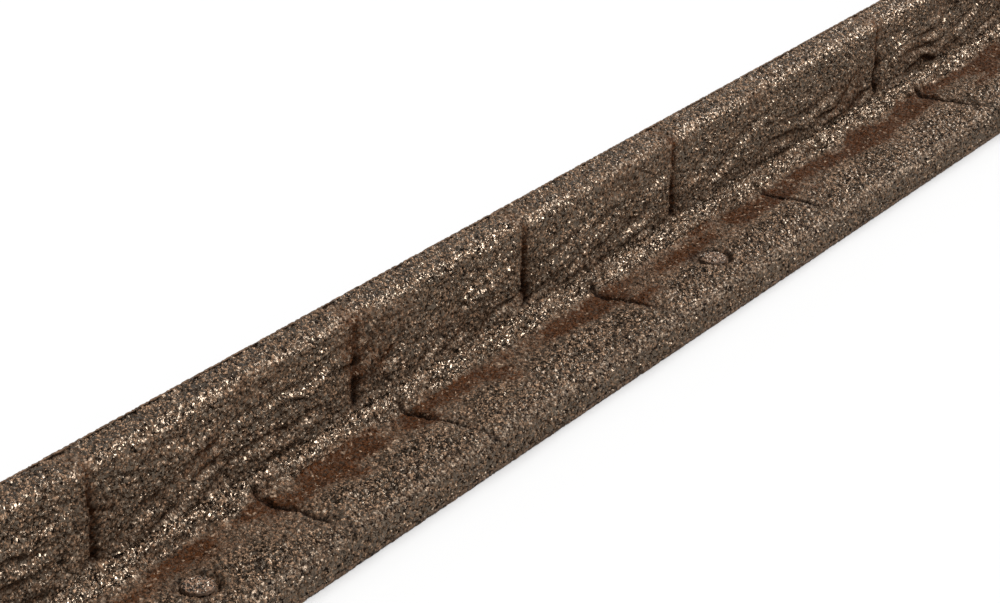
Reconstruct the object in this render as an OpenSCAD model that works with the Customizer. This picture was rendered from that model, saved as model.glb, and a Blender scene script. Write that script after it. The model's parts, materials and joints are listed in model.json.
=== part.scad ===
// One 4 ft section of moulded crumb-rubber landscape edging: an L of rubber with a stone-faced
// wall and a stone-faced foot, pinned to the ground by three steel spikes.
// Millimetres. The origin is the middle of the underside, at ground level. X runs along the
// section, -Y is the front (the foot), +Y is the back (the planting bed) and Z is up.

/* [Section] */
// Length of one section, end to end
section_length = 1219; // [1000:1:1500]
// Depth of the L, from the foot's front edge to the back face
section_depth = 89; // [86:0.5:95]
// Height of the wall above the ground
wall_h = 76; // [70:0.5:90]
// Thickness of the wall just under its top
wall_t = 23; // [21:0.5:26]
// Radius of the wall's front top edge
top_front_r = 6; // [4:0.5:7]
// Radius of the wall's back top edge
top_back_r = 4; // [3:0.5:5]
// How far the wall's face comes forward from top to bottom
wall_batter = 1; // [0:0.5:2]

/* [Foot] */
// Height of the foot at its front edge
foot_edge_h = 18; // [16:0.5:19]
// Height of the crown of the foot
foot_crest_h = 19.5; // [19:0.5:21]
// Distance of the crown behind the front edge
foot_crest_d = 20; // [18:1:26]
// Height of the valley between the foot and the bead
valley_h = 15; // [14:0.5:16]
// Radius of the foot's front edge
foot_edge_r = 5.5; // [4:0.5:6]
// Height of the bead that runs along the base of the wall
bead_top_h = 25; // [23:0.5:26]
// How far the bead stands out from the wall
bead_out = 11; // [9:0.5:12]

/* [Layers] */
// Thickness of the brown facing over the black base
facing_t = 6; // [5:0.5:6.5]
// Height of the black base that shows under the facing at the front edge
skirt_h = 2.5; // [2:0.5:4]

/* [Stones] */
// Radius of the groove between two stones of the wall
wall_groove_r = 3.4; // [2:0.1:4]
// Depth of that groove at the foot of the wall
wall_groove_deep = 2.6; // [1:0.1:3.4]
// Radius of the groove between two stones of the foot
foot_groove_r = 3.2; // [2:0.1:4]
// Depth of that groove where it meets the bead
foot_groove_deep = 3; // [1:0.1:3.4]

/* [Anchor spikes] */
// Distance between one spike and the next
spike_pitch = 432; // [380:1:450]
// Diameter of a spike's shank
spike_d = 9.5; // [8:0.1:10]
// Length of a spike under its head
spike_l = 250; // [200:1:254]
// Length of a spike's point
spike_point_l = 18; // [12:1:24]
// Diameter of a spike's head
head_d = 16; // [14:0.5:19]
// Thickness of a spike's head at its middle
head_t = 2.8; // [2:0.1:3]
// Diameter of the round dimple that takes the head, at the surface
dimple_d = 25; // [22:0.5:27]
// Height of the dimple's floor above the ground
dimple_floor_h = 16; // [15:0.1:16.5]
// Gap between the shank and its hole, on the radius
hole_clearance = 0.05; // [0.02:0.01:0.1]

/* [Hidden] */

// Lengths of the moulded stones in turn from the left end. The last stone of each row, not
// listed, fills the rest.
wall_stone_lengths = [155, 184, 143, 145, 242, 190];
foot_stone_lengths = [80, 175, 111, 170, 174, 203, 172];

front_y = -section_depth / 2;
back_y = section_depth / 2;
valley_d = section_depth - wall_t - bead_out;
wall_foot_d = section_depth - wall_t;
wall_face_d = wall_foot_d + wall_batter;
spike_y = front_y + valley_d / 2 + 1;
spike_hole_r = spike_d / 2 + hole_clearance;
over = 1;
curve_steps = 8;
round_fn = 48;
// Height of a seated head above the dimple's floor
head_seat_gap = 0.1;
// Rise of the dome on a spike's head, and the width of the flat land on top of it
head_dome_t = 1;
head_land_d = head_d - 5;
// Width of a spike's blunt tip
spike_tip_d = 0.8;
// Extra width of the dimple's floor around a seated head
dimple_floor_d = head_d + 3;

base_color = [0.10, 0.09, 0.085];
facing_color = [0.32, 0.24, 0.18];
spike_color = [0.35, 0.26, 0.20];

// Running total of the first n entries of a list
function total(list, n) = n == 0 ? 0 : list[n - 1] + total(list, n - 1);
// X positions of the joints after each listed stone
function joints(lengths) =
    [for (n = [1 : len(lengths)]) total(lengths, n) - section_length / 2];
// Points of an elliptical arc about (d, h)
function arc(d, h, rd, rh, from, to) =
    [for (n = [0 : curve_steps])
        let (a = from + (to - from) * n / curve_steps)
        [d + rd * cos(a), h + rh * sin(a)]];
// Height of the foot's top at a distance behind the front edge
function foot_top(d) =
    d < foot_crest_d
    ? foot_crest_h - (foot_crest_h - foot_edge_h)
        * pow((foot_crest_d - d) / (foot_crest_d - foot_edge_r), 2)
    : foot_crest_h - (foot_crest_h - valley_h)
        * pow((d - foot_crest_d) / (valley_d - foot_crest_d), 2);
// Points along the foot's top between two distances, lowered by drop
function foot_line(from, to, drop) =
    [for (n = [0 : curve_steps])
        let (d = from + (to - from) * n / curve_steps)
        [d, foot_top(d) - drop]];
function reversed(list) = [for (n = [len(list) - 1 : -1 : 0]) list[n]];

// The meeting line of facing and base, from the front edge to the wall's top.
// Each point is [distance behind the front edge, height].
parting_line = concat(
    [[0, skirt_h], [facing_t, skirt_h]],
    foot_line(facing_t, valley_d, facing_t),
    [[wall_face_d + facing_t, bead_top_h - facing_t / 2],
     [wall_face_d + facing_t, wall_h - facing_t],
     [section_depth - top_back_r, wall_h - facing_t],
     [section_depth - top_back_r, wall_h]]);

// The visible line of the facing, from the front edge to the wall's top
face_line = concat(
    [[0, skirt_h]],
    arc(foot_edge_r, foot_edge_h - foot_edge_r, foot_edge_r, foot_edge_r, 180, 90),
    foot_line(foot_edge_r + 1, valley_d - 1, 0),
    arc(wall_foot_d, valley_h, bead_out, bead_top_h - valley_h, 172, 90),
    arc(wall_face_d + top_front_r, wall_h - top_front_r, top_front_r, top_front_r, 180, 90),
    [[section_depth - top_back_r, wall_h]]);

// Extrudes an outline of [distance, height] points along the whole section
module along_section(outline) {
    translate([-section_length / 2, 0, 0])
        rotate([90, 0, 90])
            linear_extrude(section_length)
                translate([front_y, 0])
                    polygon(outline);
}

// Puts its children at each of the three spike positions
module at_spikes() {
    for (n = [-1 : 1])
        translate([n * spike_pitch, spike_y, 0])
            children();
}

// A plain round hole through the foot
module spike_hole() {
    translate([0, 0, -over])
        cylinder(h = foot_crest_h + 2 * over, r = spike_hole_r, $fn = round_fn);
}

// The tapered dimple above a spike hole
module dimple() {
    depth = foot_crest_h + over - dimple_floor_h;
    translate([0, 0, dimple_floor_h])
        cylinder(h = depth, d1 = dimple_floor_d, d2 = dimple_d + over, $fn = round_fn);
}

// A groove up the wall's face that runs out below its top edge
module wall_groove(x) {
    rise = wall_h - bead_top_h + 2;
    lean = atan(wall_groove_deep / rise);
    centre_y = front_y + wall_foot_d - wall_groove_r + wall_groove_deep;
    translate([x, centre_y, bead_top_h - 6])
        rotate([lean, 0, 0])
            cylinder(h = rise, r = wall_groove_r, $fn = round_fn);
}

// A groove across the foot, deepest at the bead, that runs out before the front edge
module foot_groove(x) {
    run = valley_d + bead_out / 2;
    lean = atan((foot_groove_deep + foot_crest_h - valley_h) / run);
    translate([x, front_y + run, valley_h + foot_groove_r - foot_groove_deep])
        rotate([90 - lean, 0, 0])
            cylinder(h = run - foot_edge_r, r = foot_groove_r, $fn = round_fn);
}

// The black crumb-rubber moulding that backs and underlies the facing
module base() {
    color(base_color)
        difference() {
            along_section(concat(
                [[section_depth, 0], [0, 0]],
                parting_line,
                arc(section_depth - top_back_r, wall_h - top_back_r,
                    top_back_r, top_back_r, 84, 0)));
            at_spikes() spike_hole();
        }
}

// The brown crumb-rubber layer moulded over the base, with its stones in relief
module facing() {
    color(facing_color)
        difference() {
            along_section(concat(face_line, reversed(parting_line)));
            at_spikes() {
                spike_hole();
                dimple();
            }
            for (x = joints(wall_stone_lengths)) wall_groove(x);
            for (x = joints(foot_stone_lengths)) foot_groove(x);
        }
}

// A round-headed steel spike, driven home through the hole at position n
module spike(n) {
    head_edge_t = head_t - head_dome_t;
    shank_l = spike_l - spike_point_l;
    color(spike_color)
        translate([n * spike_pitch, spike_y, dimple_floor_h + head_seat_gap])
            union() {
                cylinder(h = head_edge_t, d = head_d, $fn = round_fn);
                translate([0, 0, head_edge_t])
                    cylinder(h = head_dome_t, d1 = head_d, d2 = head_land_d, $fn = round_fn);
                translate([0, 0, -shank_l])
                    cylinder(h = shank_l + head_edge_t / 2, d = spike_d, $fn = round_fn);
                translate([0, 0, -spike_l])
                    cylinder(h = spike_point_l, d1 = spike_tip_d, d2 = spike_d, $fn = round_fn);
            }
}

base();
facing();
spike(-1);  // spike_left
spike(0);  // spike_middle
spike(1);  // spike_right
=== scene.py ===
"""Looks for one section of moulded crumb-rubber landscape edging and its three ground spikes.

The section is an L: a stone-faced wall at the back and a stone-faced foot in front. A black crumb
base carries a brown crumb facing, and each spike sits in a round dimple in the foot. Sizes inside
the classes are millimetres, and meshes are handed over in metres.
"""

import json
import logging
import math
from collections.abc import Sequence
from dataclasses import dataclass
from enum import Enum

import bmesh
import bpy
import numpy as np
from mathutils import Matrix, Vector


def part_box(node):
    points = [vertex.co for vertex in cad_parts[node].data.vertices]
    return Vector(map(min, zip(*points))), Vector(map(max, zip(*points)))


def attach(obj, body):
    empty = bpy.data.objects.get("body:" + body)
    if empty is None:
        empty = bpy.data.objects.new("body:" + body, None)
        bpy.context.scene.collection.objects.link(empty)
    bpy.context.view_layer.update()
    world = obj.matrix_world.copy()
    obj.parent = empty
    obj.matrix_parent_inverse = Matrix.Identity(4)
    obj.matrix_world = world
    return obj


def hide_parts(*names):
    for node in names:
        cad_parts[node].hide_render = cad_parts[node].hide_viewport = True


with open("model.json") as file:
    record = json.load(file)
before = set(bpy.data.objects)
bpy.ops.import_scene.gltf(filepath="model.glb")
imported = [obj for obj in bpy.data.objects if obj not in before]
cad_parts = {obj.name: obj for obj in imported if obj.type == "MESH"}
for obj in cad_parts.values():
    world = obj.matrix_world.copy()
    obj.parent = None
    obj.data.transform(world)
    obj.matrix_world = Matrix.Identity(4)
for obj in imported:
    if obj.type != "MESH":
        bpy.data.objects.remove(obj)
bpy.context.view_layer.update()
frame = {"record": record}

LOG = logging.getLogger("edging")
MM = 0.001

Colour = tuple[float, float, float]
Point = tuple[float, float]
Point3 = tuple[float, float, float]


# ---------------------------------------------------------------------------------------------
# Fields: noise and crumb grains, worked out for many points at once
# ---------------------------------------------------------------------------------------------


def smooth(value: np.ndarray, low: float, high: float) -> np.ndarray:
    """Ramps from 0 at low to 1 at high with soft ends.

    Args:
        value: The numbers to ramp.
        low: Where the ramp starts.
        high: Where the ramp ends. It may be below low, which turns the ramp round.

    Returns:
        One number from 0 to 1 for each value.
    """
    share = np.clip((value - low) / (high - low), 0.0, 1.0)
    return share * share * (3.0 - 2.0 * share)


def scatter(cells: Sequence[np.ndarray], seed: int) -> np.ndarray:
    """Gives every lattice cell a steady random number.

    Args:
        cells: Whole-number coordinates of the cells, one array for each direction.
        seed: Which of the independent random numbers to give.

    Returns:
        One number from 0 to 1 for each cell.
    """
    primes = (374761393, 668265263, 2147483629)
    mixed = np.full(cells[0].shape, (seed * 974711 + 12345) & 0xFFFFFFFF, np.uint32)
    for cell, prime in zip(cells, primes):
        mixed += cell.astype(np.int64).astype(np.uint32) * np.uint32(prime)
    mixed ^= mixed >> np.uint32(15)
    mixed *= np.uint32(2246822519)
    mixed ^= mixed >> np.uint32(13)
    mixed *= np.uint32(3266489917)
    mixed ^= mixed >> np.uint32(16)
    return mixed.astype(np.float32) / np.float32(4294967295.0)


def ripple(places: Sequence[np.ndarray], seed: int) -> np.ndarray:
    """Smooth value noise in one, two or three directions.

    Args:
        places: Coordinates in units of the noise's own grid.
        seed: Which pattern to give.

    Returns:
        One number from -1 to 1 for each place.
    """
    floors = [np.floor(p) for p in places]
    shares = [smooth(p - f, 0.0, 1.0) for p, f in zip(places, floors)]
    total = np.zeros(places[0].shape, np.float32)
    for corner in range(2 ** len(places)):
        steps = [(corner >> bit) & 1 for bit in range(len(places))]
        weight = np.ones(places[0].shape, np.float32)
        for step, share in zip(steps, shares):
            weight = weight * (share if step else 1.0 - share)
        total += weight * scatter([f + s for f, s in zip(floors, steps)], seed)
    return 2.0 * total - 1.0


@dataclass(frozen=True)
class Grains:
    """Irregular crumbs packed side by side, as tilted facets with crevices between them."""

    size: float
    height: float
    tilt: float
    crevice: float
    seed: int
    looseness: float = 0.42

    def heap(self, points: np.ndarray) -> tuple[np.ndarray, np.ndarray, np.ndarray]:
        """Finds the crumb at each point.

        Args:
            points: Rows of x, y and z in millimetres.

        Returns:
            How far the crumb stands out in millimetres, its tone from 0 to 1, and how deep in a
            crevice the point lies from 0 to 1.
        """
        warp = np.stack(
            [ripple(list((points / (1.6 * self.size)).T), self.seed + 40 + k) for k in range(3)], 1
        )
        spots = ((points + 0.30 * self.size * warp) / self.size).astype(np.float32)
        home = np.floor(spots - 0.5)
        near = np.full(len(points), 9.0, np.float32)
        second = near.copy()
        owner = np.zeros((len(points), 3), np.float32)
        centre = np.zeros((len(points), 3), np.float32)
        for corner in range(8):
            cell = home + np.array([(corner >> bit) & 1 for bit in range(3)], np.float32)
            columns = list(cell.T)
            jitter = np.stack([scatter(columns, self.seed + k) for k in range(3)], 1) - 0.5
            seat = cell + 0.5 + 2.0 * self.looseness * jitter
            away = np.sqrt(((spots - seat) ** 2).sum(1))
            closer = away < near
            second = np.where(closer, near, np.minimum(second, away))
            near = np.where(closer, away, near)
            owner = np.where(closer[:, None], cell, owner)
            centre = np.where(closer[:, None], seat, centre)
        columns = list(owner.T)
        lean = np.stack([scatter(columns, self.seed + 5 + k) for k in range(3)], 1) - 0.5
        rise = scatter(columns, self.seed + 9) - 0.5
        gap = 1.0 - smooth(second - near, 0.0, 0.26)
        facet = ((spots - centre) * lean).sum(1) * 2.0 * self.tilt * self.size
        out = 2.0 * self.height * rise + facet - self.crevice * gap
        return out, scatter(columns, self.seed + 11), gap


# ---------------------------------------------------------------------------------------------
# Shader maths
# ---------------------------------------------------------------------------------------------


class Value:
    """One number that runs through a material, with Python's own operators."""

    def __init__(self, sheet: "NodeSheet", socket: bpy.types.NodeSocket) -> None:
        """Wraps a node's output socket."""
        self.sheet = sheet
        self.socket = socket

    def _with(self, operation: str, *inputs: "Value | float", clamp: bool = False) -> "Value":
        """Adds one Math node.

        Args:
            operation: The Math node's operation.
            inputs: Its inputs in order.
            clamp: Whether the result is held from 0 to 1.

        Returns:
            The node's result.
        """
        settings = {"operation": operation, "use_clamp": clamp}
        node = self.sheet.node("ShaderNodeMath", settings, dict(enumerate(inputs)))
        return Value(self.sheet, node.outputs[0])

    def __add__(self, other: "Value | float") -> "Value":
        """Returns self + other."""
        return self._with("ADD", self, other)

    def __radd__(self, other: float) -> "Value":
        """Returns other + self."""
        return self._with("ADD", other, self)

    def __sub__(self, other: "Value | float") -> "Value":
        """Returns self - other."""
        return self._with("SUBTRACT", self, other)

    def __rsub__(self, other: float) -> "Value":
        """Returns other - self."""
        return self._with("SUBTRACT", other, self)

    def __mul__(self, other: "Value | float") -> "Value":
        """Returns self * other."""
        return self._with("MULTIPLY", self, other)

    def __rmul__(self, other: float) -> "Value":
        """Returns other * self."""
        return self._with("MULTIPLY", other, self)

    def clamped(self) -> "Value":
        """Returns self held from 0 to 1."""
        return self._with("ADD", self, 0.0, clamp=True)

    def ramp(self, low: float, high: float) -> "Value":
        """Returns 0 at low rising softly to 1 at high."""
        settings = {"interpolation_type": "SMOOTHSTEP"}
        inputs = {"Value": self, "From Min": low, "From Max": high}
        node = self.sheet.node("ShaderNodeMapRange", settings, inputs)
        return Value(self.sheet, node.outputs["Result"])


class NodeSheet:
    """A material's nodes, each added by one method."""

    def __init__(self, name: str) -> None:
        """Starts a material with only its shader and output."""
        self.material = bpy.data.materials.new(name)
        self.material.use_nodes = True
        self.tree = self.material.node_tree
        self.shader = next(n for n in self.tree.nodes if n.type == "BSDF_PRINCIPLED")

    def feed(self, socket: bpy.types.NodeSocket, value: object) -> None:
        """Links a value into a socket, or sets it there.

        Args:
            socket: The input socket.
            value: A Value, another node's output socket, or a constant.
        """
        if isinstance(value, Value):
            value = value.socket
        if isinstance(value, bpy.types.NodeSocket):
            self.tree.links.new(value, socket)
        else:
            socket.default_value = value

    def node(self, kind: str, settings: dict[str, object], inputs: dict) -> bpy.types.Node:
        """Adds a node.

        Args:
            kind: The node's type.
            settings: Its own settings, which are set before its inputs.
            inputs: What goes into its sockets, by name or number.

        Returns:
            The node.
        """
        made = self.tree.nodes.new(kind)
        for name, setting in settings.items():
            setattr(made, name, setting)
        for name, value in inputs.items():
            self.feed(made.inputs[name], value)
        return made

    def place(self) -> bpy.types.NodeSocket:
        """Returns the object coordinates in millimetres."""
        spot = self.node("ShaderNodeTexCoord", {}, {}).outputs["Object"]
        inputs = {0: spot, "Scale": 1.0 / MM}
        return self.node("ShaderNodeVectorMath", {"operation": "SCALE"}, inputs).outputs[0]

    def number(self, name: str) -> Value:
        """Returns a mesh attribute as a number."""
        made = self.node("ShaderNodeAttribute", {"attribute_name": name}, {})
        return Value(self, made.outputs["Fac"])

    def cells(self, place: bpy.types.NodeSocket, size: float, loose: float) -> bpy.types.Node:
        """Returns a Voronoi node with cells of that size in millimetres."""
        inputs = {"Vector": place, "Scale": 1.0 / size, "Randomness": loose}
        settings = {"voronoi_dimensions": "3D", "feature": "F1"}
        return self.node("ShaderNodeTexVoronoi", settings, inputs)

    def cloud(self, place: bpy.types.NodeSocket, size: float, detail: float) -> Value:
        """Returns noise from 0 to 1 with blots of that size in millimetres."""
        inputs = {"Vector": place, "Scale": 1.0 / size, "Detail": detail}
        made = self.node("ShaderNodeTexNoise", {"noise_dimensions": "3D"}, inputs)
        return Value(self, made.outputs["Fac"])

    def part(self, colour: bpy.types.NodeSocket, channel: int) -> Value:
        """Returns one channel of a colour."""
        made = self.node("ShaderNodeSeparateColor", {"mode": "RGB"}, {0: colour})
        return Value(self, made.outputs[channel])

    def mix(self, share: Value | float, first: object, second: object) -> bpy.types.NodeSocket:
        """Mixes two colours.

        Args:
            share: How much of the second colour shows.
            first: The first colour, a constant or a socket.
            second: The second colour, a constant or a socket.

        Returns:
            The mixed colour's socket.
        """
        made = self.tree.nodes.new("ShaderNodeMix")
        made.data_type = "RGBA"
        self.feed(made.inputs[0], share)
        for index, colour in ((6, first), (7, second)):
            whole = (*colour, 1.0) if isinstance(colour, tuple) else colour
            self.feed(made.inputs[index], whole)
        return made.outputs[2]

    def brighten(self, colour: bpy.types.NodeSocket, gain: Value) -> bpy.types.NodeSocket:
        """Returns a colour scaled by a number."""
        return self.node(
            "ShaderNodeVectorMath", {"operation": "SCALE"}, {0: colour, "Scale": gain}
        ).outputs[0]

    def facets(self, normal: bpy.types.NodeSocket, cells: bpy.types.Node, lean: float) -> object:
        """Leans a normal by a random amount in each cell.

        Args:
            normal: The normal to lean.
            cells: A Voronoi node.
            lean: How far a cell leans at most.

        Returns:
            The new normal's socket.
        """
        middle = self.node(
            "ShaderNodeVectorMath", {"operation": "SUBTRACT"}, {0: cells.outputs["Color"], 1: (0.5,) * 3}
        )
        longer = self.node(
            "ShaderNodeVectorMath", {"operation": "SCALE"}, {0: middle.outputs[0], "Scale": 2.0 * lean}
        )
        leaning = self.node("ShaderNodeVectorMath", {"operation": "ADD"}, {0: normal, 1: longer.outputs[0]})
        made = self.node("ShaderNodeVectorMath", {"operation": "NORMALIZE"}, {0: leaning.outputs[0]})
        return made.outputs[0]


@dataclass(frozen=True)
class CrumbFinish:
    """Bound rubber granules: each crumb has its own tone and its own facets."""

    name: str
    slot: str
    raised: Colour
    recessed: Colour
    dark: Colour
    light: Colour
    dark_share: float
    light_share: float
    flat_share: float
    spark_share: float
    roughness: float
    lean: float
    glaze: Colour = (0.150, 0.116, 0.086)
    polish: float = 0.24
    sheen: float = 0.04
    crumb: float = 1.4

    def material(self) -> bpy.types.Material:
        """Builds the material."""
        sheet = NodeSheet(self.name)
        place = sheet.place()
        grain, recess, crevice, painted_shade = (
            sheet.number(name) for name in ("grain", "recess", "crevice", "painted_shade")
        )
        coarse = sheet.cells(place, self.crumb, 1.0)
        fine = sheet.cells(place, 0.5 * self.crumb, 1.0)
        tone = sheet.part(coarse.outputs["Color"], 0)
        blotch = sheet.cloud(place, 9.0, 3.0)

        # Where the relief marks a hollow the colour turns to the recessed colour: a real reddish coat, made
        # darker as partly painted shade.
        hollow = (recess + 0.6 * blotch - 0.3 + 0.3 * tone * recess).clamped()
        body = sheet.mix(hollow, self.raised, self.recessed)
        sort = 0.5 * grain + 0.5 * tone
        plain = 1.0 - 0.45 * hollow
        body = sheet.mix(sort.ramp(self.dark_share + 0.12, self.dark_share) * plain, body, self.dark)
        lightest = sort.ramp(0.9 - self.light_share, 1.0 - self.light_share) * plain
        body = sheet.mix(lightest, body, self.light)
        # Painted shade: darker in the crevices between crumbs and along the edges of each crumb.
        edge = Value(sheet, fine.outputs["Distance"]).ramp(0.40, 0.80)
        rim = Value(sheet, coarse.outputs["Distance"]).ramp(0.50, 0.85)
        shade = (1.0 - 0.9 * crevice * plain) * (1.0 - 0.7 * edge * plain) * (1.0 - 0.6 * rim * plain)
        gain = 0.90 + 0.5 * tone + 0.5 * sheet.part(fine.outputs["Color"], 0)
        # Painted shade from the relief darkens the colour here, and below it takes the glaze off.
        gain = gain * shade * (1.0 - 0.8 * painted_shade)
        bare = (1.0 - 0.85 * hollow) * (1.0 - painted_shade)
        flat = sheet.part(coarse.outputs["Color"], 1)
        flat = flat.ramp(1.0 - self.flat_share, 1.03 - self.flat_share) * bare
        spark = sheet.part(fine.outputs["Color"], 1)
        spark = spark.ramp(1.0 - self.spark_share, 1.03 - self.spark_share) * bare
        glazed = 1.0 - (1.0 - flat) * (1.0 - spark)
        colour = sheet.mix(glazed, sheet.brighten(body, gain), self.glaze)
        sheet.feed(sheet.shader.inputs["Base Color"], colour)
        sheet.feed(sheet.shader.inputs["Metallic"], glazed)
        rough = self.roughness - (self.roughness - self.polish) * glazed
        sheet.feed(sheet.shader.inputs["Roughness"], rough)
        height = Value(sheet, fine.outputs["Distance"]) * 0.6 + sheet.cloud(place, 0.7, 2.0)
        bump = sheet.node("ShaderNodeBump", {}, {"Strength": 0.6, "Distance": 0.35 * MM, "Height": height})
        broken = sheet.facets(bump.outputs[0], fine, self.lean)
        smooth_face = sheet.node("ShaderNodeNewGeometry", {}, {}).outputs["Normal"]
        whole = sheet.facets(smooth_face, coarse, 0.7 * self.lean)
        sheet.feed(sheet.shader.inputs["Normal"], sheet.mix(flat, broken, whole))
        sheet.shader.inputs["IOR"].default_value = 1.5
        sheet.shader.inputs["Specular IOR Level"].default_value = self.sheen
        return sheet.material


@dataclass(frozen=True)
class SpikeFinish:
    """Brown painted steel, with crumb dust caked on the head and bare steel at the point."""

    name: str = "brown_spike_paint"
    slot: str = "spike_steel"
    paint: Colour = (0.060, 0.036, 0.022)
    dust: Colour = (0.165, 0.097, 0.060)
    dark: Colour = (0.020, 0.013, 0.008)
    steel: Colour = (0.30, 0.28, 0.26)
    glaze: Colour = (0.105, 0.088, 0.070)
    dusted_from: float = 17.2
    point_from: float = -208.0

    def material(self) -> bpy.types.Material:
        """Builds the material."""
        sheet = NodeSheet(self.name)
        place = sheet.place()
        height = sheet.part(place, 2)
        crumbs = sheet.cells(place, 1.15, 1.0)
        fine = sheet.cells(place, 0.7, 1.0)
        tone = sheet.part(crumbs.outputs["Color"], 0)
        wear = sheet.cloud(place, 3.0, 4.0)
        # Crumb dust covers only the head's top, so the head's sides show the dark paint, which also stands
        # in for shade in the gap round the head (painted shade).
        dusted = height.ramp(self.dusted_from, self.dusted_from + 0.7)
        bare = (wear.ramp(0.62, 0.72) + height.ramp(self.point_from, self.point_from - 14.0)).clamped()
        bare = bare * (1.0 - dusted)
        metal = sheet.mix(bare, self.paint, self.steel)
        cake = sheet.mix(tone.ramp(0.42, 0.22), self.dust, self.dark)
        # Painted shade along the edges of the dust crumbs.
        rim = Value(sheet, fine.outputs["Distance"]).ramp(0.40, 0.80)
        gain = (0.5 + 0.6 * tone + 0.6 * sheet.part(fine.outputs["Color"], 0)) * (1.0 - 0.6 * rim)
        body = sheet.mix(dusted, metal, sheet.brighten(cake, gain))
        glazed = sheet.part(fine.outputs["Color"], 1).ramp(0.72, 0.75) * dusted
        sheet.feed(sheet.shader.inputs["Base Color"], sheet.mix(glazed, body, self.glaze))
        rough = 0.65 - 0.30 * bare - 0.4 * glazed
        sheet.feed(sheet.shader.inputs["Roughness"], rough.clamped())
        sheet.feed(sheet.shader.inputs["Metallic"], (bare * 0.85 + glazed).clamped())
        grit = 0.5 * wear + dusted * Value(sheet, fine.outputs["Distance"])
        bump = sheet.node("ShaderNodeBump", {}, {"Strength": 0.6, "Distance": 0.3 * MM, "Height": grit})
        sheet.feed(sheet.shader.inputs["Normal"], bump.outputs[0])
        sheet.shader.inputs["Specular IOR Level"].default_value = 0.15
        return sheet.material


@dataclass(frozen=True)
class FloorFinish:
    """Plain matt white studio floor."""

    name: str = "studio_floor"
    colour: Colour = (0.53, 0.53, 0.53)

    def material(self) -> bpy.types.Material:
        """Builds the material."""
        sheet = NodeSheet(self.name)
        sheet.shader.inputs["Base Color"].default_value = (*self.colour, 1.0)
        sheet.shader.inputs["Roughness"].default_value = 0.9
        sheet.shader.inputs["Specular IOR Level"].default_value = 0.0
        return sheet.material


# ---------------------------------------------------------------------------------------------
# The moulding
# ---------------------------------------------------------------------------------------------


class Layer(Enum):
    """The two layers of the moulding."""

    FACING = "facing"
    BASE = "base"


@dataclass
class Section:
    """Driving sizes of the L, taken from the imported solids, and its relief."""

    length: float
    depth: float
    height: float
    wall_thickness: float = 23.0
    facing: float = 6.0
    skirt: float = 2.5
    valley: float = 15.0
    crest: float = 19.5
    edge_height: float = 18.5
    bead_top: float = 25.0
    bead_out: float = 11.0
    wall_joints: tuple[float, ...] = (-454.5, -270.5, -127.5, 17.5, 259.5, 449.5)
    foot_joints: tuple[float, ...] = (-529.5, -354.5, -243.5, -73.5, 100.5, 303.5, 475.5)
    dimple_floor: float = 16.0
    dimple_radius: float = 12.5

    @classmethod
    def from_frame(cls) -> "Section":
        """Reads the length, depth and height from the base's box."""
        low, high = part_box("base")
        size = (high - low) / MM
        return cls(length=size.x, depth=size.y, height=size.z)

    @property
    def front(self) -> float:
        """Y of the foot's front edge."""
        return -self.depth / 2

    @property
    def wall_face(self) -> float:
        """Distance of the wall's face behind the front edge."""
        return self.depth - self.wall_thickness

    def corners(self, layer: Layer) -> list[tuple[float, float, float, bool]]:
        """Corners of a layer's outline, in turn.

        Args:
            layer: Which layer.

        Returns:
            For each corner, its distance behind the front edge, its height, its rounding and
            whether the side that starts there shows.
        """
        inner = self.wall_face + 1.0 + self.facing
        seam = self.depth - 4.0
        parting = [
            (seam, self.height - self.facing, 0.0, False),
            (inner, self.height - self.facing, 0.0, False),
            (inner, self.bead_top - self.facing / 2, 0.0, False),
            (self.wall_face - self.bead_out, self.valley - self.facing, 0.0, False),
            (self.facing, self.edge_height - self.facing, 0.0, False),
            (self.facing, self.skirt, 0.0, False),
        ]
        if layer is Layer.FACING:
            face = self.wall_face
            return [
                (0.0, self.skirt, 0.0, True),
                (0.0, self.edge_height, 6.0, True),
                (24.0, self.crest, 8.0, True),
                (face - self.bead_out - 1.0, self.valley, 5.0, True),
                (face - self.bead_out + 4.0, self.valley + 2.2, 2.5, True),
                (face - 3.6, self.bead_top - 1.2, 3.4, True),
                (face, self.bead_top - 0.4, 1.5, True),
                (face + 1.0, self.height, 6.5, True),
                (seam, self.height, 0.0, False),
                *parting,
            ]
        return [
            (0.0, self.skirt, 0.0, False),
            *reversed(parting),
            (seam, self.height, 0.0, True),
            (self.depth, self.height, 4.0, True),
            (self.depth, 0.0, 0.8, True),
            (0.0, 0.0, 0.8, True),
        ]


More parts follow.
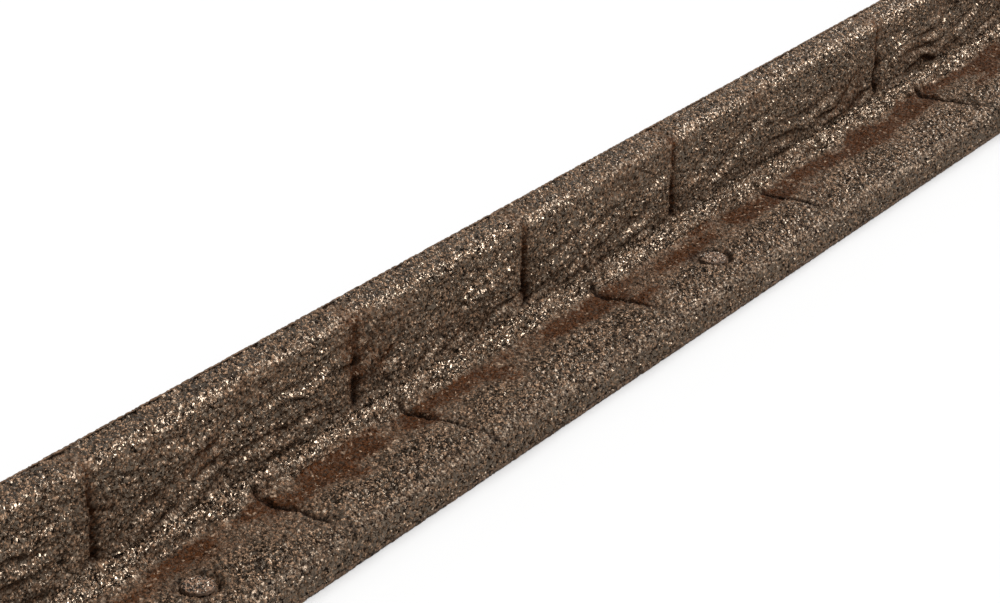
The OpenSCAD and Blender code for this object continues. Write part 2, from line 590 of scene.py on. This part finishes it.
@dataclass
class Relief:
    """How the surface of the moulding stands in or out of its plain outline."""

    section: Section
    spikes: tuple[Point, ...]
    coarse: Grains = Grains(size=2.4, height=0.30, tilt=0.32, crevice=0.75, seed=11)
    small: Grains = Grains(size=1.35, height=0.18, tilt=0.30, crevice=0.35, seed=71)
    pressed: Grains = Grains(size=2.7, height=0.05, tilt=0.07, crevice=0.55, seed=131)

    def grooves(
        self, along: np.ndarray, across: np.ndarray, joints: Sequence[float], seed: int
    ) -> tuple[np.ndarray, np.ndarray]:
        """Measures how near each point is to a joint between stones.

        Args:
            along: X of each point.
            across: Place of each point along the joint, for its wander.
            joints: X of the joints, in order.
            seed: Which wander to give.

        Returns:
            The distance to the nearest joint, and the number of the stone that the point is on.
        """
        nearest = np.full(along.shape, 1e3, np.float32)
        for index, joint in enumerate(joints):
            wander = 1.1 * ripple([across / 7.0, np.full(along.shape, 7.0 * index)], seed)
            nearest = np.minimum(nearest, np.abs(along - joint - wander))
        nearest = np.maximum(nearest + 0.5 * ripple([along / 1.6, across / 1.6], seed + 1), 0.0)
        return nearest, np.searchsorted(joints, along).astype(np.float32)

    def shape(self, points: np.ndarray, outward: np.ndarray) -> tuple[np.ndarray, np.ndarray, np.ndarray]:
        """Works out the stone relief.

        Args:
            points: Rows of x, y and z in millimetres, on the plain outline.
            outward: Rows of the outward direction there.

        Returns:
            How far each point moves outward, how bare and reddish it looks from 0 to 1 (its darkness
            partly painted shade), and how much painted shade it holds from 0 to 1.
        """
        s = self.section
        x, y, z = points.T
        depth = y - s.front
        face = s.wall_face
        wall = smooth(z, s.bead_top - 1.0, s.bead_top + 5.0) * smooth(-outward[:, 1], 0.2, 0.8)
        top = smooth(z, s.height - 12.0, s.height - 2.0)
        bead = smooth(depth, face - s.bead_out - 1.0, face - s.bead_out + 5.0)
        bead = bead * smooth(z, s.bead_top + 5.0, s.bead_top)
        foot = smooth(depth, face - 4.0, face - 9.0) * smooth(outward[:, 2], -0.1, 0.4)
        out = np.zeros(x.shape, np.float32)
        recess = np.zeros(x.shape, np.float32)
        # Painted shade: darkening painted where shade falls, in joints, creases, ledge undercuts, the
        # foot's front and the dimples.
        painted_shade = np.zeros(x.shape, np.float32)

        # wall stones
        near, stone = self.grooves(x, z, s.wall_joints, 3)
        low = smooth(z, s.height - 4.0, s.bead_top)
        cut = np.exp(-((near / (1.9 + 1.4 * low)) ** 2))
        shoulder = np.exp(-near / 9.0)
        share = wall * (1.0 - 0.75 * top)
        out -= share * (cut * (0.5 + 2.1 * low) + 0.7 * shoulder)
        out += wall * (scatter([stone], 17) - 0.5)
        out -= smooth(z, s.height - 6.0, s.height) * 0.8 * np.exp(-((near / 5.0) ** 2))
        worn = 0.5 * top * np.exp(-((near / 7.0) ** 2))
        # Reddish and darker in and beside the joints, in patches and towards the bottom of the wall: a
        # reddish coat, its darkness partly painted shade.
        recess += share * (0.5 * cut + 0.3 * np.exp(-near / 10.0)) + worn
        recess += wall * (0.4 * smooth(ripple([x / 38.0, z / 22.0], 25), 0.1, 0.7) + 0.25 * low)
        # Painted shade in the wall joints and in the crease where the wall meets the bead.
        painted_shade += share * (0.3 + 0.7 * low) * (0.6 * cut + 0.35 * np.exp(-near / 4.0))
        painted_shade += 0.4 * wall * np.exp(-(((z - s.bead_top - 2.5) / 3.5) ** 2))

        # ledges of the rock face
        slope = 0.42 * scatter([stone], 18) - 0.10
        phase = (z - slope * x) / 12.0 + 0.9 * ripple([x / 60.0, z / 36.0], 21)
        phase += 0.36 * ripple([x / 17.0, z / 12.0], 22) + 5.0 * scatter([stone], 19)
        turn = phase - np.floor(phase)
        patch = smooth(ripple([x / 24.0, np.floor(phase) * 3.7], 23), -0.35, 0.4)
        ledge = smooth(turn, 0.0, 0.14) - smooth(turn, 0.36, 0.72)
        lower = smooth(z, s.height - 8.0, s.height - 30.0)
        out += wall * patch * (0.2 + 0.8 * lower) * 2.6 * (ledge - 0.35)
        # Painted shade under each ledge, as darker reddish colour and as painted shade.
        under = wall * lower * patch * (smooth(turn, 0.74, 1.0) + smooth(turn, 0.14, 0.0))
        recess += 0.6 * under
        painted_shade += 0.6 * under
        out += wall * 0.9 * ripple([x / 27.0, z / 20.0], 24)

        # bead
        lumps = 2.0 * ripple([x / 14.0, z / 9.0], 31) + 0.9 * ripple([x / 4.5, z / 4.5, depth / 4.5], 32)
        out += bead * (lumps + 0.4)
        # Reddish and darker between the bead's lumps, partly painted shade.
        recess += 0.4 * bead * smooth(lumps, -0.1, -1.8)
        brow = 1.4 * np.exp(-(((depth - face + s.bead_out - 3.0) / 2.5) ** 2))
        out += brow * ripple([x / 8.0, z / 30.0], 33)

        # foot stones
        near, stone = self.grooves(x, depth, s.foot_joints, 5)
        toe = face - s.bead_out
        back = smooth(depth, -4.0, 0.45 * toe)
        root = np.exp(-(((depth - toe) / 4.5) ** 2))
        upper = smooth(depth, toe + 3.0, face - 2.0)
        share = np.maximum(foot, bead) * (1.0 - 0.65 * upper)
        cut = np.exp(-((near / (1.4 + 0.5 * back + 0.5 * root)) ** 2))
        out -= share * (cut * (0.4 + 1.1 * back + 0.6 * root) + 0.6 * np.exp(-near / 9.0) * back)
        out += foot * 0.7 * (scatter([stone], 27) - 0.5)
        # Reddish and darker beside the foot joints, partly painted shade, and painted shade in the joints.
        recess += share * (0.1 * cut + 0.35 * np.exp(-near / 8.0)) * back
        painted_shade += share * (cut * (0.4 + 0.4 * back) + 0.3 * np.exp(-near / 3.0) * back)
        # Painted shade on the rounding of the front edge and, towards the front, on the front face.
        painted_shade += 0.42 * np.exp(-(((depth - 2.5) / 3.0) ** 2)) * smooth(outward[:, 2], 0.1, 0.5)
        painted_shade += 0.16 * smooth(depth, 4.0, 0.0)
        swell = 0.8 * ripple([x / 33.0, depth / 26.0], 41) + 0.4 * ripple([x / 12.0, depth / 12.0], 42)
        out += foot * swell
        valley = smooth(depth, toe - 30.0, toe - 4.0) * foot * (1.0 - bead)
        # The valley takes the reddish coat, darker as partly painted shade, and a little painted shade.
        recess += valley * (0.8 + 0.5 * ripple([x / 24.0, depth / 9.0], 43))
        painted_shade += 0.1 * valley
        stain = smooth(ripple([x / 31.0, depth / 15.0], 45), 0.05, 0.6)
        recess += 0.8 * foot * stain * smooth(depth, 10.0, 0.7 * toe)
        out += 0.35 * ripple([x / 20.0, y / 20.0, z / 20.0], 44)

        # dimples
        for spike_x, spike_y in self.spikes:
            away = np.hypot(x - spike_x, y - spike_y)
            ragged = away + 0.9 * ripple([x / 4.0, y / 4.0], 51)
            bowl = smooth(ragged, s.dimple_radius + 0.5, 9.0) * smooth(outward[:, 2], 0.2, 0.7)
            forward = smooth(spike_y - y, 2.0, 7.5)
            gutter = np.exp(-(((away - 9.4) / 1.5) ** 2)) * forward
            out = out * (1.0 - bowl) + bowl * (s.dimple_floor - z - 1.3 * gutter)
            # Reddish and darker round each dimple, partly painted shade; painted shade in the gutter in
            # front of the head and on the dimple's rear wall.
            recess = np.maximum(recess, 0.5 * smooth(ragged, s.dimple_radius + 7.0, 10.0))
            behind = np.exp(-(((ragged - 11.4) / 1.8) ** 2)) * smooth(y - spike_y, 1.0, 6.0)
            painted_shade = np.maximum(painted_shade, bowl * gutter)
            painted_shade = np.maximum(painted_shade, 0.9 * behind * smooth(outward[:, 2], 0.2, 0.7))
        return out, np.clip(recess, 0.0, 1.0), np.clip(painted_shade, 0.0, 1.0)

    def dress(self, points: np.ndarray, outward: np.ndarray, layer: Layer) -> tuple[np.ndarray, dict]:
        """Adds the crumbs to the relief.

        Args:
            points: Rows of x, y and z in millimetres, on the plain outline.
            outward: Rows of the outward direction there.
            layer: Which layer the points are on.

        Returns:
            How far each point moves outward, and the numbers that the finish reads by name.
        """
        if layer is Layer.FACING:
            out, recess, painted_shade = self.shape(points, outward)
            heaps = (self.coarse, self.small)
        else:
            out, painted_shade = (np.zeros(len(points), np.float32) for _ in range(2))
            rim = smooth(points[:, 2], self.section.height - 7.0, self.section.height - 2.0)
            skirt = smooth(points[:, 1], self.section.front + 4.0, self.section.front)
            recess = np.maximum(0.9 * rim, 0.6 * skirt)
            heaps = (self.pressed,)
        tones = []
        for heap in heaps:
            rise, tone, gap = heap.heap(points)
            out = out + rise * (1.0 - 0.25 * recess)
            tones.append((tone, gap))
        crevice = np.maximum.reduce([gap for _, gap in tones])
        return out, {"grain": tones[0][0], "recess": recess, "crevice": crevice, "painted_shade": painted_shade}


@dataclass
class Moulding:
    """The L-shaped moulding, swept in equal lengths that butt together without a gap."""

    section: Section
    relief: Relief
    lengths: int = 5
    facing_step: float = 0.7
    base_step: float = 1.4
    hole_radius: float = 4.9

    def outline(self, bm: bmesh.types.BMesh, layer: Layer, x: float, step: float) -> None:
        """Draws a layer's outline as a face across the section, whose corners carry what is outward.

        Args:
            bm: The mesh to draw in.
            layer: Which layer.
            x: Where the face stands along the section.
            step: Length of an edge where the outline shows.
        """
        outward = bm.verts.layers.float_vector.new("outward")
        buried = bm.verts.layers.int.new("buried")
        corners = self.section.corners(layer)
        for distance, height, _, _ in corners:
            bm.verts.new((x, self.section.front + distance, height))
        bm.verts.ensure_lookup_table()
        made = list(bm.verts)
        count = len(corners)
        for index, vert in enumerate(made):
            shows = corners[index][3] or corners[index - 1][3]
            vert[buried] = 0 if shows else 1
        bm.faces.new(made)
        for index in range(count):
            if corners[index][2]:
                bmesh.ops.bevel(
                    bm, geom=[made[index]], offset=corners[index][2], offset_type="OFFSET",
                    segments=6, profile=0.5, affect="VERTICES", material=-1,
                )
        face = bm.faces[:][0]
        for edge in list(face.edges):
            if any(v[buried] for v in edge.verts):
                continue
            cuts = round(edge.calc_length() / step) - 1
            if cuts > 0:
                bmesh.ops.subdivide_edges(bm, edges=[edge], cuts=cuts)
        self.aim(bm.faces[:][0], outward, buried)

    def aim(self, face: bmesh.types.BMFace, outward: object, buried: object) -> None:
        """Writes the outward direction on each vertex of the outline.

        Args:
            face: The outline.
            outward: The vertex layer that takes the direction.
            buried: The vertex layer that marks what is hidden between the layers.
        """
        verts = list(face.verts)
        count = len(verts)
        shows = np.array([not v[buried] for v in verts])
        places = np.array([(v.co.y, v.co.z) for v in verts])
        sign = 1.0 if face.normal.x > 0 else -1.0
        run = np.roll(places, -1, 0) - places
        normals = sign * np.stack([run[:, 1], -run[:, 0]], 1)
        edge_shows = shows & np.roll(shows, -1)
        normals *= edge_shows[:, None]
        total = np.zeros_like(places)
        reach = 3
        for shift in range(-reach, reach):
            rolled, seen = np.roll(normals, -shift, 0), np.roll(edge_shows, -shift)
            total += rolled * seen[:, None]
        length = np.linalg.norm(total, axis=1)
        for index in range(count):
            if shows[index] and length[index] > 0:
                y, z = total[index] / length[index]
                verts[index][outward] = (0.0, y, z)
            else:
                verts[index][outward] = (0.0, 0.0, 0.0)

    def sweep(self, layer: Layer, start: float, end: float) -> bmesh.types.BMesh:
        """Sweeps a layer's outline from start to end.

        Args:
            layer: Which layer.
            start: X of the first end.
            end: X of the last end.

        Returns:
            A closed mesh in millimetres.
        """
        step = self.facing_step if layer is Layer.FACING else self.base_step
        bm = bmesh.new()
        self.outline(bm, layer, start, step)
        grown = bmesh.ops.extrude_face_region(bm, geom=bm.faces[:], use_keep_orig=True)["geom"]
        moved = [g for g in grown if isinstance(g, bmesh.types.BMVert)]
        bmesh.ops.translate(bm, verts=moved, vec=(end - start, 0.0, 0.0))
        rails = [e for e in bm.edges if abs(e.verts[0].co.x - e.verts[1].co.x) > step]
        cuts = round((end - start) / step) - 1
        bmesh.ops.subdivide_edges(bm, edges=rails, cuts=cuts, use_grid_fill=True)
        for x in (start, end):
            if abs(x) > self.section.length / 2 - 0.01:
                self.grid(bm, x, 2.0 * step)
                self.face_end(bm, x)
        bmesh.ops.recalc_face_normals(bm, faces=bm.faces)
        return bm

    def grid(self, bm: bmesh.types.BMesh, x: float, step: float) -> None:
        """Cuts an open end's face into a grid, so that it can carry crumbs too.

        Args:
            bm: The swept mesh.
            x: Where the end is.
            step: Size of the grid.
        """
        cap = [f for f in bm.faces if all(abs(v.co.x - x) < 0.01 for v in f.verts)]
        front, height = self.section.front, self.section.height
        spans = ((Vector((0, 1, 0)), front, -front), (Vector((0, 0, 1)), 0.0, height))
        for normal, low, high in spans:
            for place in np.arange(low + step, high - step / 2, step):
                edges = {e for f in cap for e in f.edges}
                verts = {v for f in cap for v in f.verts}
                cut = bmesh.ops.bisect_plane(
                    bm, geom=[*verts, *edges, *cap], dist=0.02,
                    plane_co=normal * float(place), plane_no=normal,
                )
                cap = [g for g in cut["geom"] if isinstance(g, bmesh.types.BMFace)]

    def face_end(self, bm: bmesh.types.BMesh, x: float) -> None:
        """Aims the inside of an open end's face along the section.

        Args:
            bm: The swept mesh.
            x: Where the end is.
        """
        outward = bm.verts.layers.float_vector["outward"]
        for vert in bm.verts:
            if abs(vert.co.x - x) < 0.01 and all(
                abs(loop.vert.co.x - x) < 0.01 for face in vert.link_faces for loop in face.loops
            ):
                vert[outward] = (math.copysign(1.0, x), 0.0, 0.0)

    def rough(self, mesh: bpy.types.Mesh, layer: Layer) -> None:
        """Moves a swept mesh's surface into stones and crumbs, and records them for the finish.

        Args:
            mesh: The swept mesh in millimetres. It leaves in metres.
            layer: Which layer it is.
        """
        count = len(mesh.vertices)
        points = np.zeros(count * 3, np.float32)
        mesh.vertices.foreach_get("co", points)
        points = points.reshape(-1, 3)
        outward = np.zeros(count * 3, np.float32)
        mesh.attributes["outward"].data.foreach_get("vector", outward)
        outward = outward.reshape(-1, 3)
        shows = np.abs(outward).sum(1) > 0
        plain, aim = points[shows], outward[shows]
        out, tones = self.relief.dress(plain, aim, layer)
        points[shows] = plain + aim * out[:, None]
        if layer is Layer.BASE:
            points[:, 2] = np.maximum(points[:, 2], 0.0)
        mesh.vertices.foreach_set("co", (points * MM).ravel())
        mesh.attributes.remove(mesh.attributes["outward"])
        mesh.attributes.remove(mesh.attributes["buried"])
        for name, tone in tones.items():
            whole = np.zeros(count, np.float32)
            whole[shows] = tone
            mesh.attributes.new(name, "FLOAT", "POINT").data.foreach_set("value", whole)
        mesh.update()

    def build(self, layer: Layer, finish: CrumbFinish) -> list[bpy.types.Object]:
        """Builds every length of a layer.

        Args:
            layer: Which layer.
            finish: What it is made of.

        Returns:
            The pieces, from left to right.
        """
        material = finish.material()
        stops = np.linspace(-self.section.length / 2, self.section.length / 2, self.lengths + 1)
        pieces = []
        for index in range(self.lengths):
            name = f"{layer.value}_length_{index + 1}"
            start, end = float(stops[index]), float(stops[index + 1])
            bm = self.sweep(layer, start, end)
            for f in bm.faces:
                f.smooth = abs(f.normal.x) < 0.9
            for e in bm.edges:
                if len({f.smooth for f in e.link_faces}) == 2:
                    e.smooth = False
            mesh = bpy.data.meshes.new(name)
            bm.to_mesh(mesh)
            bm.free()
            self.rough(mesh, layer)
            mesh.materials.append(material)
            piece = bpy.data.objects.new(name, mesh)
            bpy.context.scene.collection.objects.link(piece)
            for spot in self.relief.spikes:
                if start < spot[0] < end:
                    self.drill(piece, spot)
            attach(piece, "edging")
            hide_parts(layer.value)
            LOG.info("%s: %d faces", name, len(piece.data.polygons))
            pieces.append(piece)
        return pieces

    def drill(self, piece: bpy.types.Object, spot: Point) -> None:
        """Drills the hole for a spike straight down through a length.

        Args:
            piece: The length.
            spot: X and y of the spike's centre line in millimetres.
        """
        bm = bmesh.new()
        bmesh.ops.create_cone(
            bm, cap_ends=True, segments=48, radius1=self.hole_radius, radius2=self.hole_radius,
            depth=3.0 * self.section.height,
        )
        bmesh.ops.translate(bm, verts=bm.verts, vec=(*spot, 0.0))
        bmesh.ops.scale(bm, verts=bm.verts, vec=(MM, MM, MM))
        mesh = bpy.data.meshes.new("drill")
        bm.to_mesh(mesh)
        bm.free()
        mesh.materials.append(piece.data.materials[0])
        bit = bpy.data.objects.new("drill", mesh)
        bpy.context.scene.collection.objects.link(bit)
        cut = piece.modifiers.new("spike_hole", "BOOLEAN")
        cut.operation = "DIFFERENCE"
        cut.solver = "MANIFOLD"
        cut.object = bit
        solid = piece.data
        drilled = piece.evaluated_get(bpy.context.evaluated_depsgraph_get())
        piece.data = bpy.data.meshes.new_from_object(drilled)
        piece.modifiers.clear()
        bpy.data.objects.remove(bit)
        bpy.data.meshes.remove(mesh)
        bpy.data.meshes.remove(solid)
        piece.data.name = piece.name


@dataclass
class Spike:
    """A round-headed ground spike, turned about its own centre line."""

    node: str
    body: str
    dome: float = 1.3
    rim: float = 0.5
    shank: float = 4.75
    thick: float = 2.8
    sides: int = 96
    dust: Grains = Grains(size=1.9, height=0.22, tilt=0.34, crevice=0.40, seed=91)

    def outline(self, low: float, high: float, shank: float, head: float, thick: float) -> list[Point]:
        """Works out half of the spike's outline.

        Args:
            low: Height of the tip.
            high: Height of the top of the head.
            shank: Radius of the shank.
            head: Radius of the head.
            thick: Thickness of the head.

        Returns:
            Radius and height of each point, from the tip to the middle of the head.
        """
        point = 18.0
        under = high - thick
        top = [
            (head * math.sin(math.radians(a)), high - self.dome * (1.0 - math.cos(math.radians(a)) ** 0.7))
            for a in range(66, 0, -11)
        ]
        return [
            (0.0, low),
            (0.5, low + 0.6),
            (shank - 0.3, low + point - 1.5),
            (shank, low + point),
            (shank, under - 1.2),
            (shank + 0.05, under - 0.2),
            (head - self.rim, under),
            (head, under + self.rim),
            (head, high - self.dome - 0.4),
            (head - 0.25, high - self.dome),
            *top,
            (0.0, high),
        ]

    def build(self, finish: SpikeFinish, material: bpy.types.Material) -> bpy.types.Object:
        """Builds the spike in its node's place.

        Args:
            finish: The paint. It is not used.
            material: The paint's material.

        Returns:
            The piece.
        """
        low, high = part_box(self.node)
        low, high = low / MM, high / MM
        centre = (low + high) / 2
        head = (high.x - low.x) / 2
        bm = bmesh.new()
        outline = self.outline(low.z, high.z, self.shank, head, self.thick)
        verts = [bm.verts.new((centre.x + r, centre.y, z)) for r, z in outline]
        edges = [bm.edges.new(pair) for pair in zip(verts, verts[1:])]
        for edge in edges:
            middle = (edge.verts[0].co.z + edge.verts[1].co.z) / 2
            cuts = int(edge.calc_length() / (0.4 if middle > high.z - 2.9 else 4.0))
            if cuts:
                bmesh.ops.subdivide_edges(bm, edges=[edge], cuts=cuts)
        bmesh.ops.spin(
            bm, geom=bm.verts[:] + bm.edges[:], cent=(centre.x, centre.y, 0.0), axis=(0.0, 0.0, 1.0),
            angle=math.tau, steps=self.sides, use_merge=True, use_duplicate=False,
        )
        bmesh.ops.remove_doubles(bm, verts=bm.verts, dist=0.001)
        bmesh.ops.recalc_face_normals(bm, faces=bm.faces)
        caked = [v for v in bm.verts if v.co.z > high.z - 2.4]
        rise, _, _ = self.dust.heap(np.array([v.co for v in caked], np.float32))
        for vert, lift in zip(caked, rise):
            vert.co.z += min(float(lift) - 0.35, 0.0)
        bmesh.ops.scale(bm, verts=bm.verts, vec=(MM, MM, MM))
        for face in bm.faces:
            face.smooth = True
        mesh = bpy.data.meshes.new(f"{self.node}_turned")
        bm.to_mesh(mesh)
        bm.free()
        mesh.materials.append(material)
        piece = bpy.data.objects.new(f"{self.node}_turned", mesh)
        bpy.context.scene.collection.objects.link(piece)
        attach(piece, self.body)
        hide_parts(self.node)
        LOG.info("%s: %d faces", piece.name, len(mesh.polygons))
        return piece


@dataclass
class Studio:
    """Pale floor, a white room brightest overhead, two wide lamps and the camera."""

    floor_size: float = 60.0
    sky_high: float = 0.64
    sky_low: float = 0.52
    sun_width: float = 24.0
    suns: tuple[tuple[float, Point3], ...] = ((3.9, (0.95, -0.82, 1.58)), (1.7, (1.48, 0.24, 1.34)))
    eye: Point3 = (-1.1639, -0.70255, 0.620)
    look: Point3 = (0.7367, 0.5271, -0.4237)
    lens: float = 95.0

    def floor(self) -> None:
        """Lays the floor."""
        bm = bmesh.new()
        bmesh.ops.create_grid(bm, x_segments=1, y_segments=1, size=self.floor_size / 2)
        mesh = bpy.data.meshes.new("studio_floor")
        bm.to_mesh(mesh)
        bm.free()
        mesh.materials.append(FloorFinish().material())
        floor = bpy.data.objects.new("studio_floor", mesh)
        bpy.context.scene.collection.objects.link(floor)

    def light(self) -> None:
        """Lights a white room, brightest overhead, with two strong lamps far away."""
        world = bpy.data.worlds.new("studio_room")
        world.use_nodes = True
        tree = world.node_tree
        back = next(n for n in tree.nodes if n.type == "BACKGROUND")
        aim = tree.nodes.new("ShaderNodeTexCoord")
        split = tree.nodes.new("ShaderNodeSeparateXYZ")
        ramp = tree.nodes.new("ShaderNodeMapRange")
        ramp.inputs["To Min"].default_value = self.sky_low
        ramp.inputs["To Max"].default_value = self.sky_high
        tree.links.new(aim.outputs["Generated"], split.inputs[0])
        tree.links.new(split.outputs["Z"], ramp.inputs["Value"])
        tree.links.new(ramp.outputs["Result"], back.inputs["Strength"])
        back.inputs["Color"].default_value = (1.0, 1.0, 1.0, 1.0)
        bpy.context.scene.world = world
        for power, spot in self.suns:
            lamp = bpy.data.lights.new("studio_lamp", "SUN")
            lamp.energy = power
            lamp.angle = math.radians(self.sun_width)
            hung = bpy.data.objects.new("studio_lamp", lamp)
            hung.location = spot
            hung.rotation_mode = "QUATERNION"
            hung.rotation_quaternion = (-Vector(spot)).to_track_quat("-Z", "Y")
            bpy.context.scene.collection.objects.link(hung)

    def camera(self) -> None:
        """Sets up the camera."""
        lens = bpy.data.cameras.new("camera")
        lens.lens = self.lens
        lens.sensor_width = 36.0
        lens.clip_end = 200.0
        eye = bpy.data.objects.new("camera", lens)
        eye.location = self.eye
        eye.rotation_mode = "QUATERNION"
        eye.rotation_quaternion = Vector(self.look).to_track_quat("-Z", "Y")
        bpy.context.scene.collection.objects.link(eye)
        bpy.context.scene.camera = eye

    def build(self) -> None:
        """Builds the whole studio."""
        self.floor()
        self.light()
        self.camera()
        bpy.context.scene.view_settings.view_transform = "Standard"


BROWN = CrumbFinish(
    name="brown_crumb",
    slot="brown_crumb",
    raised=(0.262, 0.164, 0.102),
    # recessed: the reddish coat in the hollows, made darker as partly painted shade.
    recessed=(0.058, 0.0200, 0.0060),
    dark=(0.026, 0.014, 0.008),
    light=(0.36, 0.26, 0.18),
    dark_share=0.26,
    light_share=0.12,
    flat_share=0.30,
    spark_share=0.26,
    roughness=0.72,
    lean=0.44,
)
BLACK = CrumbFinish(
    name="black_crumb",
    slot="black_crumb",
    raised=(0.030, 0.028, 0.026),
    recessed=(0.120, 0.072, 0.044),
    dark=(0.010, 0.010, 0.010),
    light=(0.075, 0.060, 0.048),
    dark_share=0.2,
    light_share=0.06,
    flat_share=0.10,
    spark_share=0.10,
    roughness=0.55,
    lean=0.25,
)


def main() -> None:
    """Builds the scene in order."""
    logging.basicConfig(level=logging.INFO, format="%(name)s: %(message)s")
    Studio().build()
    section = Section.from_frame()
    bodies = frame["record"]["behaviour"]["bodies"]
    spikes = [Spike(node, body) for body, nodes in bodies.items() for node in nodes if "spike" in node]
    places = []
    for spike in spikes:
        low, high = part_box(spike.node)
        middle = (low + high) / 2 / MM
        places.append((middle.x, middle.y))
    moulding = Moulding(section, Relief(section, tuple(places)))
    moulding.build(Layer.BASE, BLACK)
    moulding.build(Layer.FACING, BROWN)
    paint = SpikeFinish()
    material = paint.material()
    for spike in spikes:
        spike.build(paint, material)


if __name__ == "__main__":
    main()
